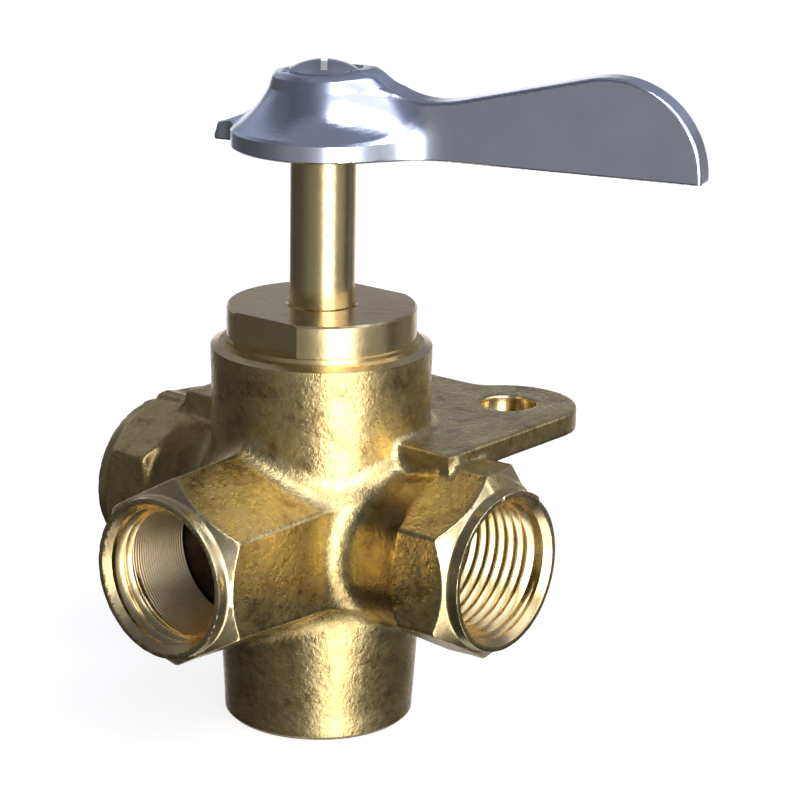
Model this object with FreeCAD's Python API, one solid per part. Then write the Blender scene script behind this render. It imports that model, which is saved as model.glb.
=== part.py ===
import FreeCAD, Part

import math
import os

os.makedirs("parts", exist_ok=True)

Vec = FreeCAD.Vector
Z_AXIS = Vec(0, 0, 1)

# Fits and clearances
RUN = 0.05              # radial clearance of turning fits
SLIP = 0.05             # clearance of parts that slide together by hand
FACE_GAP = 0.05         # axial clearance between turning and fixed faces
WASHER_PLAY = 0.2       # radial clearance of a washer on what it sits round
WASHER_RIM_PLAY = 0.1   # radial clearance of a washer in the chamber
SHANK_PLAY = 0.3        # radial clearance of the screw in the lever
END_PLAY = 0.3          # clearance at the end of a tang or square
RING_SINK = 0.01        # depth of a seal ring below the surface it seals
OVERCUT = 1.0           # how far a cutter runs past the face it opens
BURY = 0.5              # how far joined forms reach into each other
NEAR = 0.01             # edges closer than this to a place are taken as being there

# Body forging: barrel and lower boss, the origin is the centre of the bottom face
FOOT_R = 11.8
FOOT_CHAMFER = 0.5
BARREL_R = 13.6
BARREL_TAPER_TOP = 26.5
BODY_TOP = 48.0
RIM_BEVEL = 1.0
RIM_BEVEL_DROP = 0.4

# Three hexagon side ports, corners up and down
PORT_Z = 24.8
PORT_ANGLES = (-90.0, 0.0, 180.0)
PORT_FACE = 29.2
HEX_AF = 20.4
HEX_DRAFT = 2.1
HEX_EDGE_R = 0.7
HEX_ROOT = 6.0
TURNED_LENGTH = 1.95
TURNED_CONE = 33.0
NECK_FILLET = 1.2
ROUND_NECK_R = 9.4      # radius of the two ports in line where they leave the barrel
ROUND_NECK_START = 12.0
ROUND_NECK_END = 20.0
ROUND_NECK_ANGLE = 9.0
ROUND_NECK_STEP = 65.0
VALLEY_REACH = 2.0      # how far outside the barrel two ports still meet

# Pipe thread bores and the passages behind them
THREAD_R = 8.3
PORT_DEPTH = 13.5
FOOT_PORT_DEPTH = 12.0
MOUTH_R = 9.3
MOUTH_ANGLE = 45.0
PASSAGE_R = 3.8

# Chamber for the rotor and seat for the cap
CHAMBER_R = 9.2
CHAMBER_FLOOR = 14.5
CAP_THREAD_R = 10.0
CAP_FOOT = 39.2
GLAND_W = 1.25

# Ear plate behind the barrel
PLATE_TOP = 37.9
PLATE_T = 3.0
EAR_R = 8.7
PLATE_FRONT = -1.7
PLATE_BACK = 26.0
EAR_HOLE_X = 12.7
EAR_HOLE_Y = 21.6
EAR_HOLE_R = 3.55
EAR_NOTCH_R = 4.0
PLATE_EDGE_R = 0.5
RIDGE_TOP = 36.2
RIDGE_FRONT = -0.9
RIDGE_BACK = 5.6

# Cap
FLANGE_LIP = 0.65
FLANGE_T = 0.7
CAP_STEP = 0.3
CAP_TOP = 52.7
CAP_FLATS = 21.0
CAP_EDGE = 0.25
CAP_MOUTH = 0.4

# Stem
STEM_R = 3.97
COLLAR_R = 6.0
COLLAR_T = 2.1
WASHER_T = 0.65
TANG_L = 6.0
TANG_W = 3.0
TANG_DEPTH = 4.0
SQUARE_AF = 5.5
SQUARE_H = 6.6
STEM_RING_R = 0.62
STEM_RING_Z = (42.5, 46.3)

# Rotor and its seals
BASE_WASHER_T = 0.7
ROTOR_TOP = 33.5
ROTOR_RING_R = 0.7
ROTOR_RING_Z = (17.2, 31.4)
RING_GROOVE_PLAY = 0.15
CUP_R = 5.5
CUP_WALL = 1.6
CUP_BACK = 7.0
CUP_POCKET = 6.0
WAVE_T = 0.3
WAVE_PLAY = 0.1

# Stop, detent and springs
TRACK_R = 7.7
LUG_IN = 6.3
LUG_OUT = 9.1
LUG_GAP = 0.8
TRAVEL = 270.0
STOP_SLACK = 1.0
PIN_R = 0.9
PIN_REACH = 4.0
PIN_SEAT = 3.0
BALL_R = 1.0
BALL_OFFSET = 120.0
NOTCH_DEPTH = 0.5
POCKET_DEPTH = 5.4
DETENT_WIRE = 0.2
DETENT_TURNS = 4
DETENT_COIL_PLAY = 0.1
SPRING_T = 0.45
SPRING_IN = 4.6
SPRING_OUT = 6.0

# Lever, modelled with its blade along +X and then turned to its place
LEVER_TURN = 17.0
LEVER_FOOT = 72.0
DISC_R = 11.2
DISC_T = 2.5
DISC_EDGE = 0.35
BELL_R = 6.6
BELL_MID_R = 8.3
BELL_MID_H = 4.8
BELL_H = 7.4
HUB_TOP_R = 6.2
HUB_H = 9.1
BLADE_T = 3.6
BLADE_EDGE_R = 0.45
TIP_X = 36.3
TIP_LIFT = 0.3
TIP_R = 11.2
DIP_X = 14.0
DIP_H = 6.95
DIP_R = 18.0
NUB_REACH = 14.1
NUB_W = 3.4
NUB_H = 2.1
NUB_ROOT_H = 3.4
NUB_LIFT = 0.2
NUB_NOSE = 0.5
NUB_SLOPE = 5.0
# Throat behind the hub: reach along the blade, half width below and above, height
NECK_STATIONS = (
    (2.0, 5.9, 5.6, 8.7),
    (6.0, 5.6, 3.9, 8.2),
    (9.5, 4.0, 2.5, 7.7),
    (13.0, 2.6, 1.85, 7.1),
    (17.0, 1.75, 1.7, 7.0))
NECK_SHOULDER = 0.8
NECK_CROWN = 0.7
WEB_R = 7.0

# Handle screw and lock washer
SINK_R = 4.75
SINK_DEPTH = 0.9
SCREW_HEAD_R = 4.2
SCREW_RIM = 0.5
SCREW_DOME = 1.2
SCREW_SHANK_R = 1.9
SCREW_REACH = 9.5
LOCK_R = 3.9
LOCK_T = 0.8
SLOT_W = 0.8
SLOT_DEPTH = 0.8
SLOT_TURN = 113.0

# Derived places
HEX_R = HEX_AF / math.sqrt(3.0)
PLATE_HALF_W = EAR_HOLE_X + EAR_R
CAP_SEAT_R = CAP_THREAD_R + SLIP
GLAND_R = CAP_SEAT_R + GLAND_W
FLANGE_R = GLAND_R + FLANGE_LIP
CAP_R = FLANGE_R - CAP_STEP
TURNED_START = PORT_FACE - TURNED_LENGTH
CONE_SLOPE = math.tan(math.radians(TURNED_CONE))
STEM_BORE_R = STEM_R + RUN
ROTOR_R = CHAMBER_R - RUN
WASHER_FOOT = CAP_FOOT - FACE_GAP - WASHER_T
COLLAR_FOOT = WASHER_FOOT - COLLAR_T
ROTOR_FOOT = CHAMBER_FLOOR + BASE_WASHER_T + FACE_GAP
LUG_TOP = CAP_FOOT - LUG_GAP
BALL_Z = CAP_FOOT - FACE_GAP - BALL_R
POCKET_FLOOR = LUG_TOP - POCKET_DEPTH
BLADE_TOP = LEVER_FOOT + TIP_LIFT + TIP_R
HUB_TOP = LEVER_FOOT + HUB_H
SINK_FLOOR = HUB_TOP - SINK_DEPTH
SCREW_SEAT = SINK_FLOOR + LOCK_T


def revolve(points):
    """Full turn about Z of a closed outline of (radius, height) points."""
    wire = Part.makePolygon([Vec(r, 0, z) for r, z in points] + [Vec(points[0][0], 0, points[0][1])])
    return Part.Face(wire).revolve(Vec(0, 0, 0), Z_AXIS, 360)


def cylinder(radius, low, high):
    return Part.makeCylinder(radius, high - low, Vec(0, 0, low))


def tube(inner, outer, low, high):
    return cylinder(outer, low, high).cut(cylinder(inner, low - OVERCUT, high + OVERCUT))


def ring(middle, wire, z):
    return Part.makeTorus(middle, wire, Vec(0, 0, z))


def block(x_low, x_high, y_low, y_high, z_low, z_high):
    size = (x_high - x_low, y_high - y_low, z_high - z_low)
    return Part.makeBox(*size, Vec(x_low, y_low, z_low))


def turned(shape, angle):
    """A copy turned about Z."""
    copy = shape.copy()
    copy.rotate(Vec(0, 0, 0), Z_AXIS, angle)
    return copy


def laid_out(shape, angle, height):
    """A shape made about Z, laid along +X at a height and turned to an angle about Z."""
    copy = shape.copy()
    copy.rotate(Vec(0, 0, 0), Vec(0, 1, 0), 90)
    copy.translate(Vec(0, 0, height))
    copy.rotate(Vec(0, 0, 0), Z_AXIS, angle)
    return copy


def coil(radius, wire, low, high, turns):
    """Open coil spring about Z between two faces."""
    rise = high - low - 2 * wire
    path = Part.makeHelix(rise / turns, rise, radius)
    section = Part.Wire(Part.makeCircle(wire, Vec(radius, 0, 0), Vec(0, 1, 0)))
    spring = Part.Wire(path.Edges).makePipeShell([section], True, True)
    spring.translate(Vec(0, 0, low + wire))
    return spring


def coned_washer(inner, outer, thickness, low, high):
    """Spring washer about Z, its outer rim low and its inner rim high."""
    return revolve([
        (inner, high - thickness), (outer, low), (outer, low + thickness), (inner, high)])


def hexagon(radius, height):
    """Wire of a hexagon about Z with corners towards +X and -X, at a height."""
    corners = [Vec(radius, 0, height)]
    for i in range(1, 7):
        a = math.radians(60 * i)
        corners.append(Vec(radius * math.cos(a), radius * math.sin(a), height))
    return Part.makePolygon(corners)


def port_forging():
    """One drafted hexagon port about Z, its end turned round, with softened long edges."""
    grow = math.tan(math.radians(HEX_DRAFT)) * 2 / math.sqrt(3.0)
    root = HEX_R + (TURNED_START - HEX_ROOT) * grow
    tip = HEX_R - TURNED_LENGTH * grow
    bar = Part.makeLoft([hexagon(root, HEX_ROOT), hexagon(tip, PORT_FACE)], True, True)
    long_edges = [e for e in bar.Edges if e.BoundBox.ZLength > NEAR]
    bar = bar.makeFillet(HEX_EDGE_R, long_edges)
    return bar.common(turned_end())


def round_neck():
    """What the dies leave of a port in line: a tapering round neck behind the hexagon, about Z."""
    wide = HEX_AF
    slope = math.tan(math.radians(ROUND_NECK_ANGLE))
    foot = ROUND_NECK_R - ROUND_NECK_START * slope
    end = ROUND_NECK_R + (ROUND_NECK_END - ROUND_NECK_START) * slope
    step = (wide - end) / math.tan(math.radians(ROUND_NECK_STEP))
    return revolve([
        (0, 0), (foot, 0), (end, ROUND_NECK_END), (wide, ROUND_NECK_END + step),
        (wide, PORT_FACE), (0, PORT_FACE)])


def turned_end():
    """What the lathe leaves of a port about Z: a short cylinder and a cone behind it."""
    half = HEX_AF / 2
    wide = HEX_AF
    cone_start = TURNED_START - (wide - half) * CONE_SLOPE
    return revolve([
        (0, 0), (wide, 0), (wide, cone_start),
        (half, TURNED_START), (half, PORT_FACE), (0, PORT_FACE)])


def port_bore(depth):
    """Cutter about Z for a pipe thread bore with a shallow countersunk mouth, mouth at z = 0."""
    drop = (MOUTH_R - THREAD_R) * math.tan(math.radians(MOUTH_ANGLE))
    return revolve([
        (0, -depth), (THREAD_R, -depth), (THREAD_R, -drop),
        (MOUTH_R, 0), (MOUTH_R, OVERCUT), (0, OVERCUT)])


def barrel_forging():
    return revolve([
        (0, 0), (FOOT_R - FOOT_CHAMFER, 0), (FOOT_R, FOOT_CHAMFER),
        (BARREL_R, BARREL_TAPER_TOP), (BARREL_R, BODY_TOP - RIM_BEVEL_DROP),
        (BARREL_R - RIM_BEVEL, BODY_TOP), (0, BODY_TOP)])


def ear_plate():
    """Flat plate with two round ears and a shallow notch between them."""
    low = PLATE_TOP - PLATE_T
    plate = block(-PLATE_HALF_W, PLATE_HALF_W, PLATE_FRONT, EAR_HOLE_Y, low, PLATE_TOP)
    web = block(-EAR_HOLE_X, EAR_HOLE_X, 0, PLATE_BACK, low, PLATE_TOP)
    plate = plate.fuse([web])
    for side in (-1, 1):
        ear = cylinder(EAR_R, low, PLATE_TOP)
        ear.translate(Vec(side * EAR_HOLE_X, EAR_HOLE_Y, 0))
        plate = plate.fuse(ear)
    plate = plate.removeSplitter()
    corners = [e for e in plate.Edges if e.BoundBox.ZLength > NEAR and is_notch_corner(e)]
    plate = plate.makeFillet(EAR_NOTCH_R, corners)
    rims = [e for e in plate.Edges if e.BoundBox.ZLength < NEAR]
    return plate.makeFillet(PLATE_EDGE_R, rims)


def is_notch_corner(edge):
    """True where the straight back of the plate meets the round of an ear."""
    return abs(edge.BoundBox.YMax - PLATE_BACK) < NEAR


def valve_body():
    body = barrel_forging()
    front_port = port_forging()
    line_port = front_port.common(round_neck())
    for port, angle in zip((front_port, line_port, line_port), PORT_ANGLES):
        body = body.fuse(laid_out(port, angle, PORT_Z))
    body = body.removeSplitter()
    body = body.makeFillet(NECK_FILLET, neck_edges(body))
    body = body.fuse([ear_plate(), ridge()])
    body = body.cut(body_cavities())
    return body.removeSplitter()


def ridge():
    """Pad under the plate along the tops of the two ports in line, its ends turned with them."""
    bar = block(-PORT_FACE, PORT_FACE, RIDGE_FRONT, RIDGE_BACK, PORT_Z, RIDGE_TOP)
    end = turned_end()
    return bar.common(laid_out(end, 0, PORT_Z).fuse(laid_out(end, 180, PORT_Z)))


def neck_edges(body):
    """Edges where the barrel meets a port and where two ports meet."""
    edges = []
    for edge in body.Edges:
        middle = edge.valueAt((edge.FirstParameter + edge.LastParameter) / 2)
        r = math.hypot(middle.x, middle.y)
        if FOOT_R < r < BARREL_R + VALLEY_REACH and abs(middle.z - PORT_Z) < HEX_R + VALLEY_REACH:
            edges.append(edge)
    return edges


def body_cavities():
    """Everything that is machined out of the forging."""
    cut = cylinder(CHAMBER_R, CHAMBER_FLOOR, CAP_FOOT)
    top = revolve([
        (0, CAP_FOOT - BURY), (CAP_SEAT_R, CAP_FOOT - BURY), (CAP_SEAT_R, BODY_TOP - GLAND_W),
        (GLAND_R, BODY_TOP), (GLAND_R, BODY_TOP + OVERCUT), (0, BODY_TOP + OVERCUT)])
    foot_port = cylinder(THREAD_R, -OVERCUT, FOOT_PORT_DEPTH)
    cuts = [top, foot_port, cylinder(PASSAGE_R, 0, CHAMBER_FLOOR + OVERCUT)]
    side_bore = port_bore(PORT_DEPTH)
    side_bore.translate(Vec(0, 0, PORT_FACE))
    side_bore = side_bore.fuse(cylinder(PASSAGE_R, 0, PORT_FACE))
    for angle in PORT_ANGLES:
        cuts.append(laid_out(side_bore, angle, PORT_Z))
    for side in (-1, 1):
        hole = cylinder(EAR_HOLE_R, PLATE_TOP - PLATE_T - OVERCUT, PLATE_TOP + OVERCUT)
        hole.translate(Vec(side * EAR_HOLE_X, EAR_HOLE_Y, 0))
        cuts.append(hole)
    return cut.fuse(cuts)


def bonnet_cap():
    """Screwed cap with two wrench flats, a stem bore and notches for the detent ball."""
    flats_low = BODY_TOP + FLANGE_T
    cap = revolve([
        (STEM_BORE_R, CAP_FOOT), (CAP_THREAD_R, CAP_FOOT), (CAP_THREAD_R, BODY_TOP),
        (FLANGE_R, BODY_TOP), (FLANGE_R, flats_low), (CAP_R, flats_low),
        (CAP_R, CAP_TOP - CAP_EDGE), (CAP_R - CAP_EDGE, CAP_TOP),
        (STEM_BORE_R + CAP_MOUTH, CAP_TOP), (STEM_BORE_R, CAP_TOP - CAP_MOUTH)])
    for side in (-1, 1):
        low, high = sorted((side * CAP_FLATS / 2, side * CAP_R * 2))
        cap = cap.cut(block(-CAP_R, CAP_R, low, high, flats_low, CAP_TOP + OVERCUT))
    pin_hole = cylinder(PIN_R, CAP_FOOT - OVERCUT, CAP_FOOT + PIN_SEAT)
    pin_hole.translate(pin_place())
    cap = cap.cut(pin_hole)
    for angle in PORT_ANGLES + (90.0,):
        a = math.radians(angle + BALL_OFFSET)
        place = Vec(TRACK_R * math.cos(a), TRACK_R * math.sin(a), CAP_FOOT + NOTCH_DEPTH - BALL_R)
        cap = cap.cut(Part.makeSphere(BALL_R, place))
    return cap


def lug_angles():
    """Angles of the two ends of the stop lug, in the lever's own frame."""
    pin_half = math.degrees(math.asin(PIN_R / TRACK_R))
    half = (360 - TRAVEL - STOP_SLACK) / 2 - pin_half
    return BALL_OFFSET - half, BALL_OFFSET + half


def pin_place():
    """The pin stands opposite the lug when the lever points midway along its travel."""
    middle = (PORT_ANGLES[0] + PORT_ANGLES[2]) / 2
    a = math.radians(middle + BALL_OFFSET + 180)
    return Vec(TRACK_R * math.cos(a), TRACK_R * math.sin(a), 0)


def stop_pin():
    pin = cylinder(PIN_R, CAP_FOOT - PIN_REACH, CAP_FOOT + PIN_SEAT)
    pin.translate(pin_place())
    return pin


def bonnet_o_ring():
    """Seal in the bevelled corner under the flange of the cap."""
    leg = GLAND_R - CAP_THREAD_R
    wire = leg / (2 + math.sqrt(2.0))
    return ring(CAP_THREAD_R + wire, wire, BODY_TOP - wire)


def ring_groove(outer, wire, z):
    floor = outer - 2 * (wire + RING_SINK)
    return tube(floor, outer + OVERCUT, z - wire - RING_GROOVE_PLAY, z + wire + RING_GROOVE_PLAY)


def ring_in_groove(outer, wire, z):
    return ring(outer - wire - RING_SINK, wire, z)


def stem():
    """Stem with collar and tang below, two seal grooves and a drive square on top."""
    square_top = LEVER_FOOT + SQUARE_H
    shaft = cylinder(STEM_R, WASHER_FOOT - BURY, LEVER_FOOT)
    collar = cylinder(COLLAR_R, COLLAR_FOOT, WASHER_FOOT)
    half = SQUARE_AF / 2
    square = block(-half, half, -half, half, LEVER_FOOT - BURY, square_top)
    tang = block(-TANG_L / 2, TANG_L / 2, -TANG_W / 2, TANG_W / 2,
                 ROTOR_TOP - TANG_DEPTH, COLLAR_FOOT + BURY)
    whole = shaft.fuse([collar, square, tang])
    for z in STEM_RING_Z:
        whole = whole.cut(ring_groove(STEM_R, STEM_RING_R, z))
    tapped_foot = SCREW_SEAT - SCREW_REACH - END_PLAY
    tapped = cylinder(SCREW_SHANK_R + SLIP, tapped_foot, square_top + OVERCUT)
    return whole.cut(tapped).removeSplitter()


def thrust_washer():
    return tube(STEM_R + WASHER_PLAY, COLLAR_R, WASHER_FOOT + FACE_GAP, CAP_FOOT)


def base_washer():
    return tube(PASSAGE_R + WASHER_PLAY, CHAMBER_R - WASHER_RIM_PLAY,
                CHAMBER_FLOOR, CHAMBER_FLOOR + BASE_WASHER_T)


def stop_lug():
    """Sector on top of the rotor that runs against the stop pin."""
    start, end = lug_angles()
    lug = tube(LUG_IN, LUG_OUT, ROTOR_TOP - BURY, LUG_TOP)
    sector = Part.makeCylinder(LUG_OUT * 2, LUG_TOP, Vec(0, 0, 0), Z_AXIS, end - start)
    return lug.common(turned(sector, start))


def ball_axis():
    a = math.radians(BALL_OFFSET)
    return Vec(TRACK_R * math.cos(a), TRACK_R * math.sin(a), 0)


def rotor():
    """Plug with a passage that turns from the axis to the side below the lever's blade."""
    plug = cylinder(ROTOR_R, ROTOR_FOOT, ROTOR_TOP).fuse(stop_lug())
    up = cylinder(PASSAGE_R, ROTOR_FOOT - OVERCUT, PORT_Z)
    across = laid_out(cylinder(PASSAGE_R, 0, ROTOR_R + OVERCUT), 0, PORT_Z)
    elbow = Part.makeSphere(PASSAGE_R, Vec(0, 0, PORT_Z))
    cup_pocket = laid_out(cylinder(CUP_R + SLIP, CUP_POCKET, ROTOR_R + OVERCUT), 0, PORT_Z)
    slot = block(-TANG_L / 2 - SLIP, TANG_L / 2 + SLIP, -TANG_W / 2 - SLIP, TANG_W / 2 + SLIP,
                 ROTOR_TOP - TANG_DEPTH - END_PLAY, ROTOR_TOP + OVERCUT)
    pocket = cylinder(BALL_R + SLIP, POCKET_FLOOR, LUG_TOP + OVERCUT)
    pocket.translate(ball_axis())
    plug = plug.cut([up, across, elbow, cup_pocket, slot, pocket])
    for z in ROTOR_RING_Z:
        plug = plug.cut(ring_groove(ROTOR_R, ROTOR_RING_R, z))
    return plug.removeSplitter()


def outlet_seal():
    """Cup round the passage, its face following the chamber wall."""
    cup = laid_out(tube(CUP_R - CUP_WALL, CUP_R, CUP_BACK, ROTOR_R + OVERCUT), 0, PORT_Z)
    return cup.common(cylinder(ROTOR_R, ROTOR_FOOT, ROTOR_TOP))


def outlet_spring():
    """Coned spring washer between the rotor and the back of the cup."""
    inner = CUP_R - CUP_WALL + WAVE_PLAY
    return laid_out(coned_washer(inner, CUP_R - WAVE_PLAY, WAVE_T, CUP_POCKET, CUP_BACK), 0, PORT_Z)


def detent_ball():
    return Part.makeSphere(BALL_R, ball_axis() + Vec(0, 0, BALL_Z))


def detent_spring():
    radius = BALL_R - DETENT_WIRE - DETENT_COIL_PLAY
    drop = math.sqrt((BALL_R + DETENT_WIRE) ** 2 - radius ** 2)
    spring = coil(radius, DETENT_WIRE, POCKET_FLOOR, BALL_Z - drop + DETENT_WIRE, DETENT_TURNS)
    spring.translate(ball_axis())
    return spring


def rotor_spring():
    """Two coned washers, rim to rim, that press the rotor down from the collar of the stem."""
    middle = (ROTOR_TOP + COLLAR_FOOT) / 2
    upper = coned_washer(SPRING_IN, SPRING_OUT, SPRING_T, middle - SPRING_T / 2, COLLAR_FOOT)
    lower = upper.mirror(Vec(0, 0, middle), Z_AXIS)
    return upper.fuse(lower).removeSplitter()


def hub():
    """Disc and bell of the lever."""
    z = LEVER_FOOT
    rim = DISC_R - DISC_EDGE
    straight = [
        Vec(0, 0, z), Vec(rim, 0, z), Vec(DISC_R, 0, z + DISC_EDGE),
        Vec(DISC_R, 0, z + DISC_T - DISC_EDGE), Vec(rim, 0, z + DISC_T)]
    bell = Part.Arc(straight[-1], Vec(BELL_MID_R, 0, z + BELL_MID_H), Vec(BELL_R, 0, z + BELL_H))
    top = [
        Vec(BELL_R, 0, z + BELL_H), Vec(HUB_TOP_R, 0, HUB_TOP - DISC_EDGE),
        Vec(HUB_TOP_R - DISC_EDGE, 0, HUB_TOP), Vec(0, 0, HUB_TOP), Vec(0, 0, z)]
    edges = Part.makePolygon(straight).Edges + [bell.toShape()] + Part.makePolygon(top).Edges
    return Part.Face(Part.Wire(edges)).revolve(Vec(0, 0, 0), Z_AXIS, 360)


def blade_outline():
    """Wire in the XZ plane: hollow top near the hub, straight rise and one round tip."""
    tip = Vec(TIP_X, 0, LEVER_FOOT + TIP_LIFT)
    dip = Vec(DIP_X, 0, LEVER_FOOT + DIP_H + DIP_R)
    gap = tip - dip
    across = math.asin((DIP_R + TIP_R) / gap.Length)
    rise = math.atan2(gap.z, gap.x) + across
    up = Vec(-math.sin(rise), 0, math.cos(rise))
    leave = dip - up * DIP_R
    land = tip + up * TIP_R
    end_x = TIP_X + math.sqrt(TIP_R ** 2 - TIP_LIFT ** 2)
    end = Vec(end_x, 0, LEVER_FOOT)
    far = math.radians(45)
    around = tip + Vec(math.cos(far), 0, math.sin(far)) * TIP_R
    low = dip - Vec(0, 0, DIP_R)
    start = Vec(2 * DIP_X - leave.x, 0, leave.z)
    root = Vec(0, 0, start.z)
    foot = Vec(0, 0, LEVER_FOOT)
    edges = [
        Part.makeLine(foot, root), Part.makeLine(root, start),
        Part.Arc(start, low, leave).toShape(), Part.makeLine(leave, land),
        Part.Arc(land, around, end).toShape(), Part.makeLine(end, foot)]
    return Part.Wire(edges)


def blade():
    face = Part.Face(blade_outline())
    face.translate(Vec(0, -BLADE_T / 2, 0))
    plate = face.extrude(Vec(0, BLADE_T, 0))
    rims = [e for e in plate.Edges if e.BoundBox.YLength < NEAR and e.BoundBox.XMax > DIP_X]
    return plate.makeFillet(BLADE_EDGE_R, rims)


def neck():
    """Lofted throat between the bell and the blade, narrowing along the blade."""
    sections = []
    for x, low_half, high_half, height in NECK_STATIONS:
        z = LEVER_FOOT + height
        shoulder = z - NECK_SHOULDER
        crown = high_half * NECK_CROWN
        corners = [
            Vec(x, -low_half, LEVER_FOOT), Vec(x, low_half, LEVER_FOOT),
            Vec(x, high_half, shoulder), Vec(x, crown, z),
            Vec(x, -crown, z), Vec(x, -high_half, shoulder),
            Vec(x, -low_half, LEVER_FOOT)]
        sections.append(Part.makePolygon(corners))
    return Part.makeLoft(sections, True, False)


def disc_web():
    """Flat web that leads the rim of the disc into the sides of the blade."""
    half = BLADE_T / 2
    reach = math.sqrt((DISC_R + WEB_R) ** 2 - (half + WEB_R) ** 2)
    scale = DISC_R / (DISC_R + WEB_R)
    touch = Vec(reach * scale, (half + WEB_R) * scale, LEVER_FOOT)
    land = Vec(reach, half, LEVER_FOOT)
    centre = Vec(reach, half + WEB_R, LEVER_FOOT)
    chord = (touch + land) * 0.5 - centre
    middle = centre + chord * (WEB_R / chord.Length)
    mirror = [Vec(p.x, -p.y, p.z) for p in (land, middle, touch)]
    edges = [
        Part.Arc(touch, middle, land).toShape(), Part.makeLine(land, mirror[0]),
        Part.Arc(*mirror).toShape(), Part.makeLine(mirror[2], touch)]
    return Part.Face(Part.Wire(edges)).extrude(Vec(0, 0, DISC_T))


def nub():
    """Pointer opposite the blade, tapering down to its end."""
    z = LEVER_FOOT
    side = [
        Vec(0, 0, z), Vec(-NUB_REACH, 0, z + NUB_LIFT), Vec(NUB_NOSE - NUB_REACH, 0, z + NUB_H),
        Vec(NUB_SLOPE - NUB_REACH, 0, z + NUB_ROOT_H), Vec(0, 0, z + NUB_ROOT_H), Vec(0, 0, z)]
    face = Part.Face(Part.makePolygon(side))
    face.translate(Vec(0, -NUB_W / 2, 0))
    return face.extrude(Vec(0, NUB_W, 0))


def lever_handle():
    lever = hub().fuse([blade(), neck(), disc_web(), nub()])
    half = SQUARE_AF / 2 + SLIP
    broach_top = LEVER_FOOT + SQUARE_H + END_PLAY
    broach = block(-half, half, -half, half, LEVER_FOOT - OVERCUT, broach_top)
    hole = cylinder(SCREW_SHANK_R + SHANK_PLAY, LEVER_FOOT, HUB_TOP + OVERCUT)
    sink = cylinder(SINK_R, SINK_FLOOR, HUB_TOP + OVERCUT)
    return lever.cut([broach, hole, sink]).removeSplitter()


def lock_washer():
    return tube(SCREW_SHANK_R + WASHER_PLAY, LOCK_R, SINK_FLOOR, SCREW_SEAT)


def handle_screw():
    """Screw with a domed head and one straight slot."""
    z = SCREW_SEAT
    peak = z + SCREW_RIM + SCREW_DOME
    dome_r = (SCREW_HEAD_R ** 2 + SCREW_DOME ** 2) / (2 * SCREW_DOME)
    head = cylinder(SCREW_HEAD_R, z, peak)
    head = head.common(Part.makeSphere(dome_r, Vec(0, 0, peak - dome_r)))
    shank = cylinder(SCREW_SHANK_R, z - SCREW_REACH, z + SCREW_RIM)
    slot = block(-SCREW_HEAD_R, SCREW_HEAD_R, -SLOT_W / 2, SLOT_W / 2,
                 peak - SLOT_DEPTH, peak + OVERCUT)
    return head.fuse(shank).cut(turned(slot, SLOT_TURN)).removeSplitter()


def fixed_parts():
    return {
        "valve_body": valve_body(),
        "bonnet_cap": bonnet_cap(),
        "bonnet_o_ring": bonnet_o_ring(),
        "stop_pin": stop_pin(),
        "thrust_washer": thrust_washer(),
        "base_washer": base_washer(),
    }


def turning_parts():
    return {
        "stem": stem(),
        "stem_o_ring_lower": ring_in_groove(STEM_R, STEM_RING_R, STEM_RING_Z[0]),
        "stem_o_ring_upper": ring_in_groove(STEM_R, STEM_RING_R, STEM_RING_Z[1]),
        "rotor": rotor(),
        "rotor_o_ring_lower": ring_in_groove(ROTOR_R, ROTOR_RING_R, ROTOR_RING_Z[0]),
        "rotor_o_ring_upper": ring_in_groove(ROTOR_R, ROTOR_RING_R, ROTOR_RING_Z[1]),
        "outlet_seal": outlet_seal(),
        "outlet_spring": outlet_spring(),
        "rotor_spring": rotor_spring(),
        "detent_ball": detent_ball(),
        "detent_spring": detent_spring(),
        "lever_handle": lever_handle(),
        "lock_washer": lock_washer(),
        "handle_screw": handle_screw(),
    }


def write(name, shape):
    solids = shape.Solids
    whole = solids[0] if len(solids) == 1 else Part.makeCompound(solids)
    print(name, "solids", len(solids), "valid", whole.isValid(), "volume", round(whole.Volume, 1))
    whole.exportStep("parts/" + name + ".step")


for part_name, part_shape in fixed_parts().items():
    write(part_name, part_shape)
for part_name, part_shape in turning_parts().items():
    write(part_name, turned(part_shape, LEVER_TURN))
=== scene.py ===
import math

import bmesh
import bpy
import numpy as np
from mathutils import Matrix, Vector


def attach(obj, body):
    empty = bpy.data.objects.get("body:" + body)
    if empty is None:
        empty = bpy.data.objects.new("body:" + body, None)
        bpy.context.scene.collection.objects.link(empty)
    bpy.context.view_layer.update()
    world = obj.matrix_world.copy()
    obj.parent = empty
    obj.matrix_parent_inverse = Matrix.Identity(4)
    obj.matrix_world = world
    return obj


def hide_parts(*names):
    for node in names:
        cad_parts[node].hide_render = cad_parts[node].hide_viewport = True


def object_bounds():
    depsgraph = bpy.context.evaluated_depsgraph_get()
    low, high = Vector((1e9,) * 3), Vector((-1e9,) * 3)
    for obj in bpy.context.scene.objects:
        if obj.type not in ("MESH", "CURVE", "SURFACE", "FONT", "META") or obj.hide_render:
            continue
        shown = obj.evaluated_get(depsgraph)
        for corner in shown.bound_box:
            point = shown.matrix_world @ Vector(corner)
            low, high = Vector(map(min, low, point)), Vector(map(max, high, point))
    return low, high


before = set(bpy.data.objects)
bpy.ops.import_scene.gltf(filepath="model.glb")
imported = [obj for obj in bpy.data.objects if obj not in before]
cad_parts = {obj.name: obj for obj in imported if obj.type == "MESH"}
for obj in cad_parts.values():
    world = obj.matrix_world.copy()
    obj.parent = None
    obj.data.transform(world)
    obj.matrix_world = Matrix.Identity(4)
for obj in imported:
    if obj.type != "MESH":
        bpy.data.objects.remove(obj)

CAD_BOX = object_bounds()

# Units: the model is in metres, every size below is in millimetres
MM = 0.001
SEED = 11

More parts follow.
